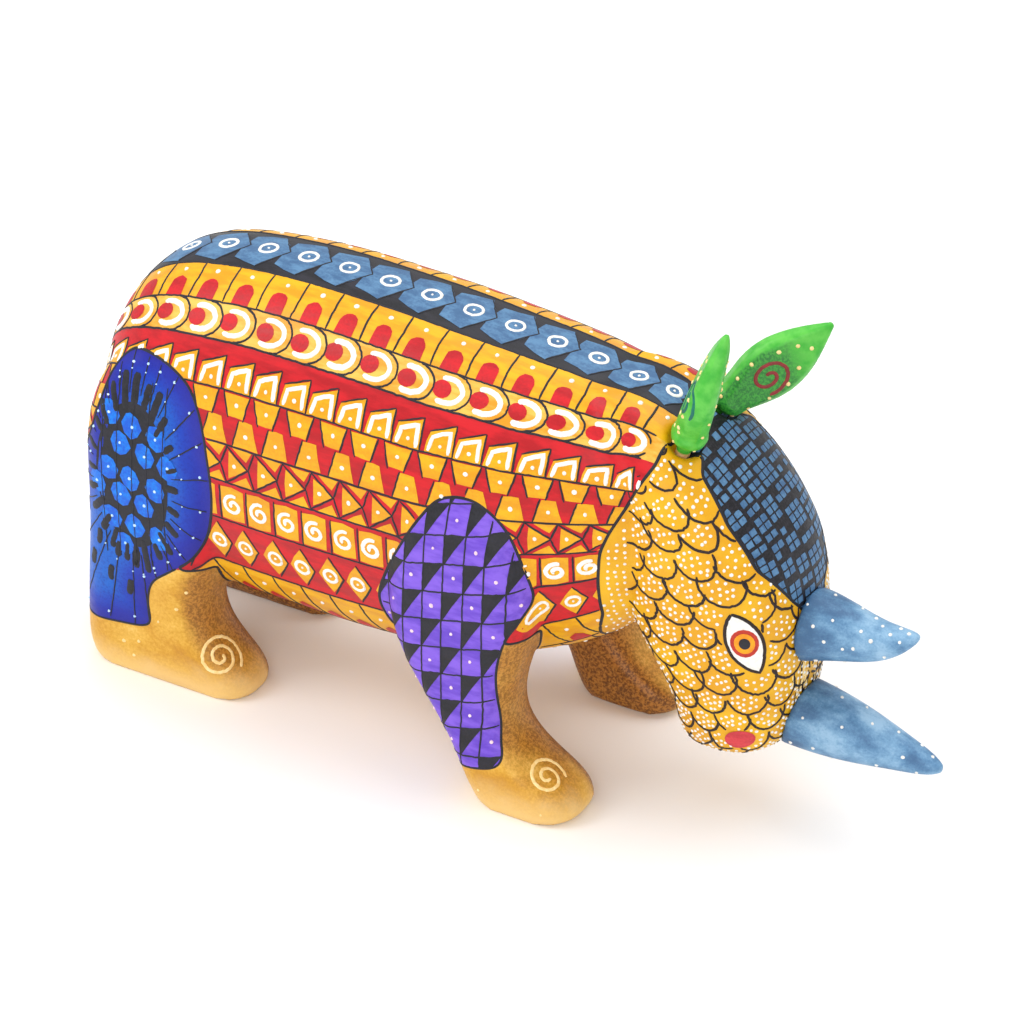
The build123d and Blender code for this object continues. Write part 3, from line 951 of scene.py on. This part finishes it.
def paint_hind_panel(side, word):
    """Black petals round a heart of blue leaves, with rays out to the panel's rim."""
    petals, rays, rim_dots, leaves, leaf_dots = [], [], [], [], []
    for i in range(PETALS):
        angle = 2 * math.pi * (i + jig(0.15)) / PETALS
        heel, tip = hind_spot(angle, 0.86 + jig(0.05)), hind_spot(angle, 1.2 + jig(0.07))
        petals.append([heel, hind_spot(angle, 1.02), tip])
        half = angle + math.pi / PETALS
        rays.append([hind_spot(half, 1.0), hind_spot(half + jig(0.03), 2.3)])
        edge = [hind_spot(half, r) for r in np.arange(1.1, 2.6, 0.03)]
        gap = inside_distance(*np.array(edge).T, HIND_LOOP)
        rim = next((e for e, g in zip(edge, gap) if g < 3.2), None)
        if rim:
            rim_dots.append((*rim, random.uniform(0.5, 0.62)))
            rim_dots.append((*hind_spot(half, 1.25), 0.35))
    for row in range(-3, 4):
        for col in range(-2, 3):
            x = HEART_X + col * 7.6 + (row % 2) * 3.8 + jig(0.4)
            z = HEART_Z + row * 7.9 - col * 1.6 + jig(0.4)
            if ((x - HEART_X) / HEART_LONG) ** 2 + ((z - HEART_Z) / HEART_TALL) ** 2 < 0.9:
                leaves.append([(x + 0.9 * a + jig(0.3), z + 0.9 * b + jig(0.3)) for a, b in LEAF])
                leaf_dots.append((x + jig(0.3), z + jig(0.3), random.uniform(0.6, 0.75)))
    petals += [[(x + jig(), z + 2.6), (x - 0.4 + jig(), z), (x - 0.9 + jig(), z - 2.6)] for x, z in LOW_DABS]
    uprights = [[(x, 40), (x + jig(), 70), (x, 96)] for x in (-109, -104.5, -99.5, -94.5, -89.5)]
    heart = [hind_spot(a, 0.9) for a in np.linspace(0, 2 * math.pi, 28, endpoint=False)]
    chart, on_hind = flank_chart(side), within("hind", 0.2)
    lay_patches(f"{word}_hind_black_heart", [heart], chart, on_hind, black_paint, 0.05, 4, False)
    lay_patches(f"{word}_hind_blue_cells", leaves, chart, on_hind, cyan_paint, 0.1, 1)
    lay_strokes(f"{word}_hind_petals", petals, chart, on_hind, black_paint, 2.2, 1.0, crest=0.14)
    lay_strokes(f"{word}_hind_fine_lines", rays + uprights, chart, on_hind, black_paint, 0.4, crest=0.18)
    lay_dots(f"{word}_hind_dots", rim_dots + leaf_dots, chart, on_hind, ice_paint, 0.3)


SQUARE_WIDE, SQUARE_TALL = 6.1, 8.4  # of the grid on the violet panel
SQUARE_RISE = 0.24  # how steeply the grid's rows rise forwards
GRID_X, GRID_Z = -1.0, 14  # where the grid is counted from


def paint_fore_panel(side, word):
    """A slanting grid, half of whose squares hold a black triangle and half a dot."""
    triangles, dots, grid = [], [], []
    half_wide, half_tall = SQUARE_WIDE * 0.5, SQUARE_TALL * 0.5
    for col in range(-5, 7):
        x = GRID_X + col * SQUARE_WIDE
        grid.append([(x, 8), (x + jig(0.4), 50), (x, 96)])
        for row in range(-1, 10):
            z = GRID_Z + row * SQUARE_TALL + SQUARE_RISE * x
            if (col + row) % 2:
                triangles.append([
                    (x, z - 0.7), (x, z + half_tall), (x, z + SQUARE_TALL),
                    (x + half_wide, z + SQUARE_TALL + SQUARE_RISE * half_wide),
                    (x + SQUARE_WIDE, z + SQUARE_TALL + SQUARE_RISE * SQUARE_WIDE),
                    (x + half_wide, z + half_tall + SQUARE_RISE * half_wide),
                ])
            else:
                middle = (x + half_wide + jig(0.4), z + half_tall + 0.8 + jig(0.4))
                dots.append((*middle, random.uniform(0.6, 0.8)))
    for row in range(-1, 11):
        z = GRID_Z + row * SQUARE_TALL
        grid.append([(x, z + SQUARE_RISE * x + jig(0.15)) for x in np.arange(-30, 30, 4.0)])
    chart, on_fore = flank_chart(side), within("fore", 0.2)
    lay_patches(f"{word}_fore_black_triangles", triangles, chart, on_fore, black_paint, 0.07, 3)
    lay_strokes(f"{word}_fore_grid", grid, chart, on_fore, black_paint, 0.5, crest=0.17)
    lay_dots(f"{word}_fore_dots", dots, chart, on_fore, blush_paint)


# A curl on each toe: its middle and the way the toe faces there on the left, turns, radius, start
TOE_CURLS = (
    ("hind", (-76.9, 30.7, 12.6), (0.66, 0.44, 0.61), 2.2, 6.5, -40),
    ("fore", (28.1, 34.2, 12.1), (0.55, 0.24, 0.80), 1.9, 5.8, -20),
)
LEG_DOTS = [
    (-85.0, 33.0, 0.7), (-88.0, 27.0, 0.8), (-80.0, 28.0, 0.5), (-106.0, 10.5, 0.75), (-101.0, 12.0, 0.7),
    (-103.0, 6.5, 0.75), (-94.0, 21.0, 0.5), (18.0, 38.0, 0.5), (20.5, 27.0, 0.5), (11.0, 6.0, 0.6),
    (30.0, 4.5, 0.5),
]


def paint_legs(side, word):
    """Cream curls on the toes and a few dots on the legs."""
    for part, (x, y, z), facing, turns, radius, start in TOE_CURLS:
        facing = Vector((facing[0], side * facing[1], facing[2])).normalized()
        across = Vector((0, 0, 1)).cross(facing).normalized()
        toe = plane_chart(body_tree, (x, side * y, z), across, facing.cross(across), facing)
        spiral = curl(0, 0, radius, 0.7, turns, start=start, count=44)
        lay_strokes(f"{word}_{part}_toe_curl", [spiral], toe, always, cream_paint, 0.85, 0.9, 0.05, 0.16)
    lay_dots(f"{word}_leg_dots", LEG_DOTS, flank_chart(side), within("leg", 0.5), cream_paint)


for side, word in SIDES:
    paint_hind_panel(side, word)
    paint_fore_panel(side, word)
    paint_legs(side, word)

# ---- rosette round the tail ----------------------------------------------------------------
ROSETTE_PETALS = 14
ROSETTE_Z = 74
rosette_red, rosette_dots = [], []
for i in range(ROSETTE_PETALS):
    angle = 2 * math.pi * (i + 0.5) / ROSETTE_PETALS
    across, up = math.cos(angle), math.sin(angle)
    petal = oval(9.5, 0, 3.6, 1.7, count=10)
    rosette_red.append([
        (u * across * 0.95 - v * up, ROSETTE_Z + u * up * 1.25 + v * across) for u, v in petal])
    for wide, tall, radius in ((15.0, 20.0, 0.9), (9.0, 12.0, 0.7)):
        between = angle + 0.22
        rosette_dots.append((wide * math.cos(between), ROSETTE_Z + tall * math.sin(between), radius))
rear_chart = plane_chart(body_tree, (RUMP - 5, 0, 0), (0, 1, 0), (0, 0, 1), (-1, 0, 0))
lay_patches("rump_red_petals", rosette_red, rear_chart, within("rump", 0.3), red_paint, 0.09, 1)
lay_dots("rump_white_dots", rosette_dots, rear_chart, within("rump", 0.3), white_paint)

trace("bands", always, "panel_and_head_outlines", black_paint, 0.95)
trace("hind", within("leg", -0.6), "hind_panel_hem", black_paint, 0.7, 0.18)
trace("fore", within("leg", -0.6), "fore_panel_hem", black_paint, 0.7, 0.18)
trace("crown", always, "crown_outline", black_paint, 0.9)

# ---- head ----------------------------------------------------------------------------------
SCALE_WIDE, SCALE_DEEP, SCALE_ROUND = 10.6, 7.0, 5.7
FALL = math.radians(80)  # scales point forwards and down by this much
FALL_FROM = (34, 66)  # distance back round the head and height of the middle scale
EYE = (22.3, 64.3)  # distance back round the head, height
EYE_LONG, EYE_DEEP, EYE_FALL = 9.8, 5.6, math.radians(70)
EYE_NARROWED = 0.78  # the head is wider there than the round chart takes it to be
MOUTH = (27.0, 30.8)
MOUTH_ROOM = (7, 3.6)  # how far round the mouth the scales stay off


def eye_place(side, along, across):
    """A spot of the eye, given along its slanting length and across it."""
    back_by = EYE[0] - EYE_NARROWED * (along * math.cos(EYE_FALL) + across * math.sin(EYE_FALL))
    return (side * back_by, EYE[1] - along * math.sin(EYE_FALL) + across * math.cos(EYE_FALL))


def almond():
    """The eye's outline."""
    t = np.linspace(-1, 1, 15)
    lid = (1 - t**2) ** 0.8
    return [*zip(EYE_LONG * t, EYE_DEEP * lid), *zip(EYE_LONG * t[-2:0:-1], -EYE_DEEP * lid[-2:0:-1])]


def blocked(back_by, height):
    """Whether a place on the cheek lies on the eye or the mouth."""
    dx, dz = (EYE[0] - back_by) / EYE_NARROWED, EYE[1] - height
    along = dx * math.cos(EYE_FALL) + dz * math.sin(EYE_FALL)
    across = dx * math.sin(EYE_FALL) - dz * math.cos(EYE_FALL)
    on_eye = (along / (EYE_LONG + 1)) ** 2 + (across / (EYE_DEEP + 1.0)) ** 2 < 1
    past_x, past_z = (back_by - MOUTH[0]) / MOUTH_ROOM[0], (height - MOUTH[1]) / MOUTH_ROOM[1]
    return on_eye or past_x**2 + past_z**2 < 1


def fallen(back_by, height, down, over):
    """A spot this far down the fall of the scales from another, and this far across it."""
    return (back_by - down * math.cos(FALL) - over * math.sin(FALL),
            height - down * math.sin(FALL) + over * math.cos(FALL))


def scale_arcs():
    """The rounded edges of one cheek's scales, broken where they meet the eye or the mouth."""
    arcs = []
    for row in range(-10, 11):
        for col in range(-8, 9):
            back_by, height = fallen(*FALL_FROM, row * SCALE_DEEP, (col + 0.5 * (row % 2)) * SCALE_WIDE)
            back_by, height = back_by + jig(0.7), height + jig(0.7)
            if not (-2 < back_by < 76 and 12 < height < 122):
                continue
            spread, size, turn = random.uniform(84, 104), SCALE_ROUND * random.uniform(0.9, 1.1), jig(0.3)
            line = []
            for a in np.radians(np.linspace(-spread, spread, 15)):
                spot = fallen(back_by, height, size * math.cos(a + turn), size * math.sin(a + turn))
                if not blocked(*spot):
                    line.append(spot)
                    continue
                arcs.append(line)
                line = []
            arcs.append(line)
    return [line for line in arcs if len(line) > 2]


def dots_between(arcs):
    """Dots all over one cheek, clear of the scales' edges."""
    inked = [spot for line in arcs for spot in spaced(line, 0.6)[:3 * len(line)]]
    near = KDTree(len(inked))
    for i, spot in enumerate(inked):
        near.insert((*spot, 0), i)
    near.balance()
    dots = []
    for i, back_by in enumerate(np.arange(0, 74, 1.8)):
        for height in np.arange(14 + 1.0 * (i % 2), 122, 2.0):
            x, z = back_by + jig(0.42), height + jig(0.42)
            if near.find((x, z, 0))[2] > 0.98 and not blocked(x, z):
                dots.append((x, z, random.uniform(0.6, 0.76)))
    return dots


def behind_jaw(places):
    """Positive on the head's rear strip, which the round head chart only grazes."""
    way = np.stack([places[:, 0] - np.interp(places[:, 2], HEAD_LEVEL, HEAD_MIDDLE), places[:, 1]], 1)
    way /= np.linalg.norm(way, axis=1)[:, None] + 1e-12
    facings = np.array([body_tree.find_nearest(Vector(place))[1] for place in places])
    return np.minimum(fields(places)["cheek"] - 0.4, 20 * (0.45 - (facings[:, :2] * way).sum(1)))


def before_jaw(places):
    """Positive on the rest of the cheek."""
    return np.minimum(fields(places)["cheek"] - 0.3, 0.01 - behind_jaw(places))


arcs, cheek_dots = [], []
for side, _ in SIDES:
    side_arcs = scale_arcs()
    cheek_dots += [(side * x, z, radius) for x, z, radius in dots_between(side_arcs)]
    arcs += [[(side * x, z) for x, z in line] for line in side_arcs]
jaw_dots = [
    (x + jig(0.35), z + jig(0.4), random.uniform(0.55, 0.72))
    for x in np.arange(33, 62, 1.9) for z in np.arange(24, 118, 2.1)
]
for side, word in SIDES:
    lay_dots(f"{word}_jaw_dots", jaw_dots, flank_chart(side), behind_jaw, white_paint, 0.22, 6)
on_cheek = within("cheek", 0.3)
lay_strokes("cheek_scale_lines", arcs, head_chart, before_jaw, scale_line_paint, 0.78, 1.2, 0.08, 0.18)
lay_dots("cheek_white_dots", cheek_dots, head_chart, before_jaw, white_paint, 0.22, 6)

eye = {"whites": [], "lids": [], "reds": [], "oranges": [], "pupils": []}
lips = []
for side, _ in SIDES:
    eye["whites"].append([eye_place(side, a, b) for a, b in almond()])
    eye["lids"].append([eye_place(side, a, b) for a, b in almond() + almond()[:1]])
    for ring, size in (("reds", 4.4), ("oranges", 3.2), ("pupils", 1.75)):
        eye[ring].append([eye_place(side, a, b) for a, b in oval(-0.3, 0, size, size, count=18)])
    lips.append(oval(side * MOUTH[0], MOUTH[1], 5.4, 3.5, count=18, tilt=-side * 0.3))
lay_patches("eye_whites", eye["whites"], head_chart, on_cheek, white_paint, 0.08, 3)
lay_patches("eye_red_rings", eye["reds"], head_chart, on_cheek, iris_red_paint, 0.14, 2)
lay_patches("eye_orange_rings", eye["oranges"], head_chart, on_cheek, iris_orange_paint, 0.2, 2)
lay_patches("eye_pupils", eye["pupils"], head_chart, on_cheek, black_paint, 0.26, 1)
lay_strokes("eye_outlines", eye["lids"], head_chart, on_cheek, scale_line_paint, 1.15, 0.9, 0.03, 0.3)
lay_patches("red_lips", lips, head_chart, on_cheek, mouth_paint, 0.16, 2)

TILE = (
    (0.15, 0.15), (1.1, 0.12), (2.1, 0.15), (2.12, 1.1), (2.1, 2.2), (1.1, 2.22), (0.15, 2.2), (0.12, 1.1),
)
TILE_LONG, TILE_WIDE = 2.45, 2.55  # from one tile to the next
tiles = []
across = -21.0
while across < 21:
    abreast = random.choice((2, 3, 3))
    along = -6.0 + random.uniform(0, 3)
    while along < 78:
        rows = random.choice((1, 2, 2, 3))
        for row in range(rows):
            for col in range(abreast):
                if random.random() < 0.94:
                    x, y = along + row * TILE_LONG, across + col * TILE_WIDE + 0.06 * along
                    tiles.append([(x + u + jig(0.1), y + v + jig(0.1)) for u, v in TILE])
        along += rows * TILE_LONG + random.choice((0.7, 1.2, 2.2))
    across += abreast * TILE_WIDE + 0.7
lay_patches("crown_blue_squares", tiles, crown_chart, within("crown", 0.5), slate_paint, 0.08)

pale_hairs, dark_hairs = [], []
for i in range(46):
    x, z = random.uniform(-11, 11), random.uniform(42, 51)
    hairs = pale_hairs if i % 3 else dark_hairs
    hairs.append([(x, z - 2.2), (x + jig(0.4), z + jig()), (x + jig(0.8), z + 2.2)])
lay_strokes("nose_pale_hatching", pale_hairs, head_chart, on_cheek, cream_paint, 0.5, crest=0.14)
lay_strokes("nose_dark_hatching", dark_hairs, head_chart, on_cheek, scale_line_paint, 0.5, crest=0.14)


# ---- horns ---------------------------------------------------------------------------------
def horn_finish(name, root_x):
    """Mottled blue-grey that darkens toward the root."""
    f = Finish(name)
    dab = f.noise(7.0, 4.0, (1.6, 1, 1), 0.6)
    speck = f.noise(0.6, 3.0, rough=0.7)
    root = f.slide(f.along((1, 0, 0)), root_x * MM, (root_x + 18) * MM, 0.2, 0.0)
    tone = f.slide(f.sum("SUBTRACT", f.weigh((dab, 0.8), (speck, 0.2)), root), 0.26, 0.66)
    colour = f.ramp(tone, [
        (0.0, ink(58, 98, 138)), (0.4, ink(88, 132, 170)),
        (0.75, ink(116, 158, 192)), (1.0, ink(146, 182, 210)),
    ])
    return f.dress(colour, 0.5, f.sum("ADD", dab, speck), 0.09, 0.45)


def horn_chart(tree, root, tip):
    """Flat x runs along the horn from its root, and flat y is the angle round it in degrees."""
    axis = (tip - root).normalized()
    side_way = axis.cross(Vector((0, 0, 1))).normalized()
    up_way = side_way.cross(axis)

    def chart(flat):
        angles = np.radians(flat[:, 1])
        out = np.outer(np.cos(angles), up_way) + np.outer(np.sin(angles), side_way)
        return cast(tree, np.array(root) + np.outer(flat[:, 0], axis) + 30 * out, -out)
    return chart


HORN_DOTS = 30
DOT_TURN = 137.5  # degrees round the horn from one dot to the next
for word in ("rear_horn", "front_horn"):
    horn = whittled_copy(word, "painted_" + word, "figure", grain=0.75, rounds=3)
    spots, tree = skin_tree(horn)
    low, high = spots[:, 0].min(), spots[:, 0].max()
    horn.data.materials.append(horn_finish(word + "_slate_paint", low))
    tip = Vector(spots[spots[:, 0] > high - 1.0].mean(0))
    root = Vector(spots[spots[:, 0] < low + 9.0].mean(0))
    reach = (tip - root).length
    shares = [-0.04 + 0.99 * (i + 0.5) / HORN_DOTS for i in range(HORN_DOTS)]
    dots = [(reach * share, i * DOT_TURN + jig(30), random.uniform(0.55, 0.8))
            for i, share in enumerate(shares)]
    lay_dots(word + "_dots", dots, horn_chart(tree, root, tip), always, white_paint)


# ---- ears and tail -------------------------------------------------------------------------
def leaf_finish(name, stippled_way, middle):
    """Fresh green; the face that looks the stippled way, if there is one, is stippled darker."""
    f = Finish(name)
    stipple = f.noise(0.7, 3.0, rough=0.75)
    pools = f.noise(3.0, 3.0)
    fresh = f.shade(pools, 0.25, 0.75, ink(44, 166, 34), ink(92, 192, 66))
    dark = f.shade(stipple, 0.42, 0.6, ink(30, 116, 40), ink(60, 158, 50))
    uneven = f.sum("MULTIPLY", f.sum("SUBTRACT", pools, 0.5), 0.001)
    forward = f.sum("ADD", f.along(stippled_way, middle * MM), uneven)
    return f.dress(f.shade(forward, 0.0026, 0.0034, fresh, dark), 0.42, f.sum("ADD", pools, stipple), 0.07)


PLAIN = Vector((0, 0, 0))  # the stippled way of a leaf that has no stippled face
# Along and across a leaf's face from its middle, in millimetres
RIM_DOTS = (
    (-14, 3.2), (-9, 4.3), (-3, 5.2), (3, 5.0), (9, 3.0), (14, 1.2),
    (-12, -3.6), (-6, -4.8), (0.5, -5.4), (7, -3.8), (12, -2.0),
)
EDGE_DOTS = [(9.5, 0.6, 0.85), (-4.5, 1.0, 0.95), (-8.0, -0.8, 0.85), (-9.5, 1.6, 0.8)]
turns = {joint["name"]: joint for joint in frame["joints"]}


def paint_ear(word, face_hint, curl_way, curl_paint, stippled):
    """An ear with dots on both faces, and a curl on the side that looks the curl's way."""
    ear = whittled_copy(word, "painted_" + word, word, grain=0.5, rounds=2)
    spots, tree = skin_tree(ear)
    long_way = Vector(turns[word + "_turn"]["axis"]).normalized()
    middle = Vector(spots.mean(0))
    flat = spots - np.array(middle)
    flat -= np.outer(flat @ np.array(long_way), long_way)
    wide_way = Vector(np.linalg.svd(flat, full_matrices=False)[2][0]).normalized()
    face_way = long_way.cross(wide_way).normalized()
    if face_way.dot(Vector(face_hint)) < 0:
        face_way = -face_way
    ear.data.materials.append(leaf_finish(word + "_green_paint", face_way if stippled else PLAIN, middle))
    for look, facing in (("front", face_way), ("back", -face_way)):
        chart = plane_chart(tree, middle, long_way, wide_way, facing)
        dots = [(along + jig(0.6), across + jig(0.4), random.uniform(0.6, 0.9)) for along, across in RIM_DOTS]
        lay_dots(f"{word}_{look}_dots", dots, chart, always, cream_paint, body_name=word)
    swirl = curl(0, 0, 5.6, 0.9, 1.6, start=-120, count=40) * (1.1, 0.85) + (1.0, 0.0)
    curl_way = Vector(curl_way).normalized()
    chart = plane_chart(tree, middle, long_way, curl_way.cross(long_way).normalized(), curl_way)
    if not stippled:
        lay_dots(f"{word}_edge_dots", EDGE_DOTS, chart, always, cream_paint, body_name=word)
    lay_strokes(f"{word}_curl", [swirl], chart, always, curl_paint, 1.0, 0.8, 0.03, 0.22, word)


paint_ear("right_ear", (-0.8, -0.45, 0.1), (-0.45, -0.88, 0.15), teal_paint, False)
paint_ear("left_ear", (0.48, -0.88, 0.0), (0.48, -0.88, 0.0), brown_red_paint, True)

TAIL_DOT_STEP = 4.4
tail = whittled_copy("tail", "painted_tail", "tail", grain=0.5, rounds=3)
spots, tree = skin_tree(tail)
tail.data.materials.append(leaf_finish("tail_green_paint", PLAIN, Vector(spots.mean(0))))


def tail_chart(flat):
    """Flat x is the wood's y and flat y its height, seen from behind."""
    return cast(tree, columns(RUMP - 30.0, flat[:, 0], flat[:, 1]), (1, 0, 0))


tail_low, tail_high = spots[:, 2].min(), spots[:, 2].max()
tail_dots = [(0.9 * math.sin(2.1 * i), tail_low + 4 + i * TAIL_DOT_STEP, 0.6)
             for i in range(int((tail_high - tail_low - 6) / TAIL_DOT_STEP))]
lay_dots("tail_dots", tail_dots, tail_chart, always, cream_paint, body_name="tail")


# ---- pegs and dowels -----------------------------------------------------------------------
def peg_finish(name, collar=None):
    """Bare whittled wood; with a collar, green from a little below the collar's place outwards."""
    f = Finish(name)
    grain = f.noise(1.2, 4.0, (6, 1, 1), 0.6)
    fibre = f.noise(0.4, 3.0, (12, 1, 1), 0.6)
    colour = f.ramp(f.slide(grain, 0.3, 0.7), [
        (0.0, ink(196, 154, 98)), (0.5, ink(218, 182, 128)), (1.0, ink(236, 208, 160)),
    ])
    if collar:
        heel, out = collar
        edge = f.sum("ADD", f.along(out, heel), f.sum("MULTIPLY", grain, 0.0012))
        green = f.shade(fibre, 0.3, 0.7, ink(40, 150, 32), ink(78, 182, 56))
        colour = f.shade(edge, -0.0034, -0.0028, colour, green)
    return f.dress(colour, 0.6, f.sum("ADD", grain, fibre), 0.08, 0.3)


plain_wood = peg_finish("bare_copal_wood")
pegs = {"rear_horn_dowel": plain_wood, "front_horn_dowel": plain_wood}
for word in ("right_ear", "left_ear", "tail"):
    turn = turns[word + "_turn"]
    out = Vector(turn["axis"]).normalized() * (-1 if word == "tail" else 1)
    pegs[word + "_peg"] = peg_finish(word + "_peg_wood", (turn["pos_m"], out))
for node, finish in pegs.items():
    materials = frame["nodes"][node].data.materials
    materials.clear()
    materials.append(finish)

# ---- camera, floor and light ---------------------------------------------------------------
AIM = Vector((-0.0020, -0.0007, 0.06735))
AZIMUTH, ELEVATION, FAR = math.radians(30), math.radians(33), 1.4


def put_in(name, data):
    """An object of the studio, not of the figure."""
    piece = bpy.data.objects.new(name, data)
    bpy.context.scene.collection.objects.link(piece)
    return piece


level = math.cos(ELEVATION)
back = Vector((math.sin(AZIMUTH) * level, -math.cos(AZIMUTH) * level, math.sin(ELEVATION)))
camera = put_in("camera", bpy.data.cameras.new("camera"))
camera.location = AIM + FAR * back
camera.rotation_euler = back.to_track_quat("Z", "Y").to_euler()
camera.data.lens = 184.6
camera.data.sensor_width = 36
camera.data.clip_start = 0.05
bpy.context.scene.camera = camera

floor_mesh = bpy.data.meshes.new("floor")
bm = bmesh.new()
bmesh.ops.create_grid(bm, x_segments=1, y_segments=1, size=6)
bm.to_mesh(floor_mesh)
bm.free()
floor_mesh.materials.append(Finish("pale_floor").dress(ink(250, 250, 250), 0.7, gloss=0.2))
floor = put_in("floor", floor_mesh)

world = bpy.data.worlds.new("studio")
world.use_nodes = True
daylight = world.node_tree.nodes["Background"]
daylight.inputs["Color"].default_value = (1, 1, 1, 1)
daylight.inputs["Strength"].default_value = 0.82
bpy.context.scene.world = world
bpy.context.scene.view_settings.view_transform = "Standard"

for name, place, size, power in (
    ("left_softbox", (-0.7, -0.5, 0.9), (0.5, 0.7), 5.0),
    ("front_softbox", (0.5, -1.0, 0.6), (0.7, 0.5), 3.4),
    ("top_softbox", (0.1, 0.3, 1.1), (0.9, 0.7), 5.4),
):
    lamp = bpy.data.lights.new(name, "AREA")
    lamp.shape = "RECTANGLE"
    lamp.size, lamp.size_y = size
    lamp.energy = power
    box = put_in(name, lamp)
    box.location = place
    box.rotation_euler = (Vector(place) - AIM).to_track_quat("Z", "Y").to_euler()
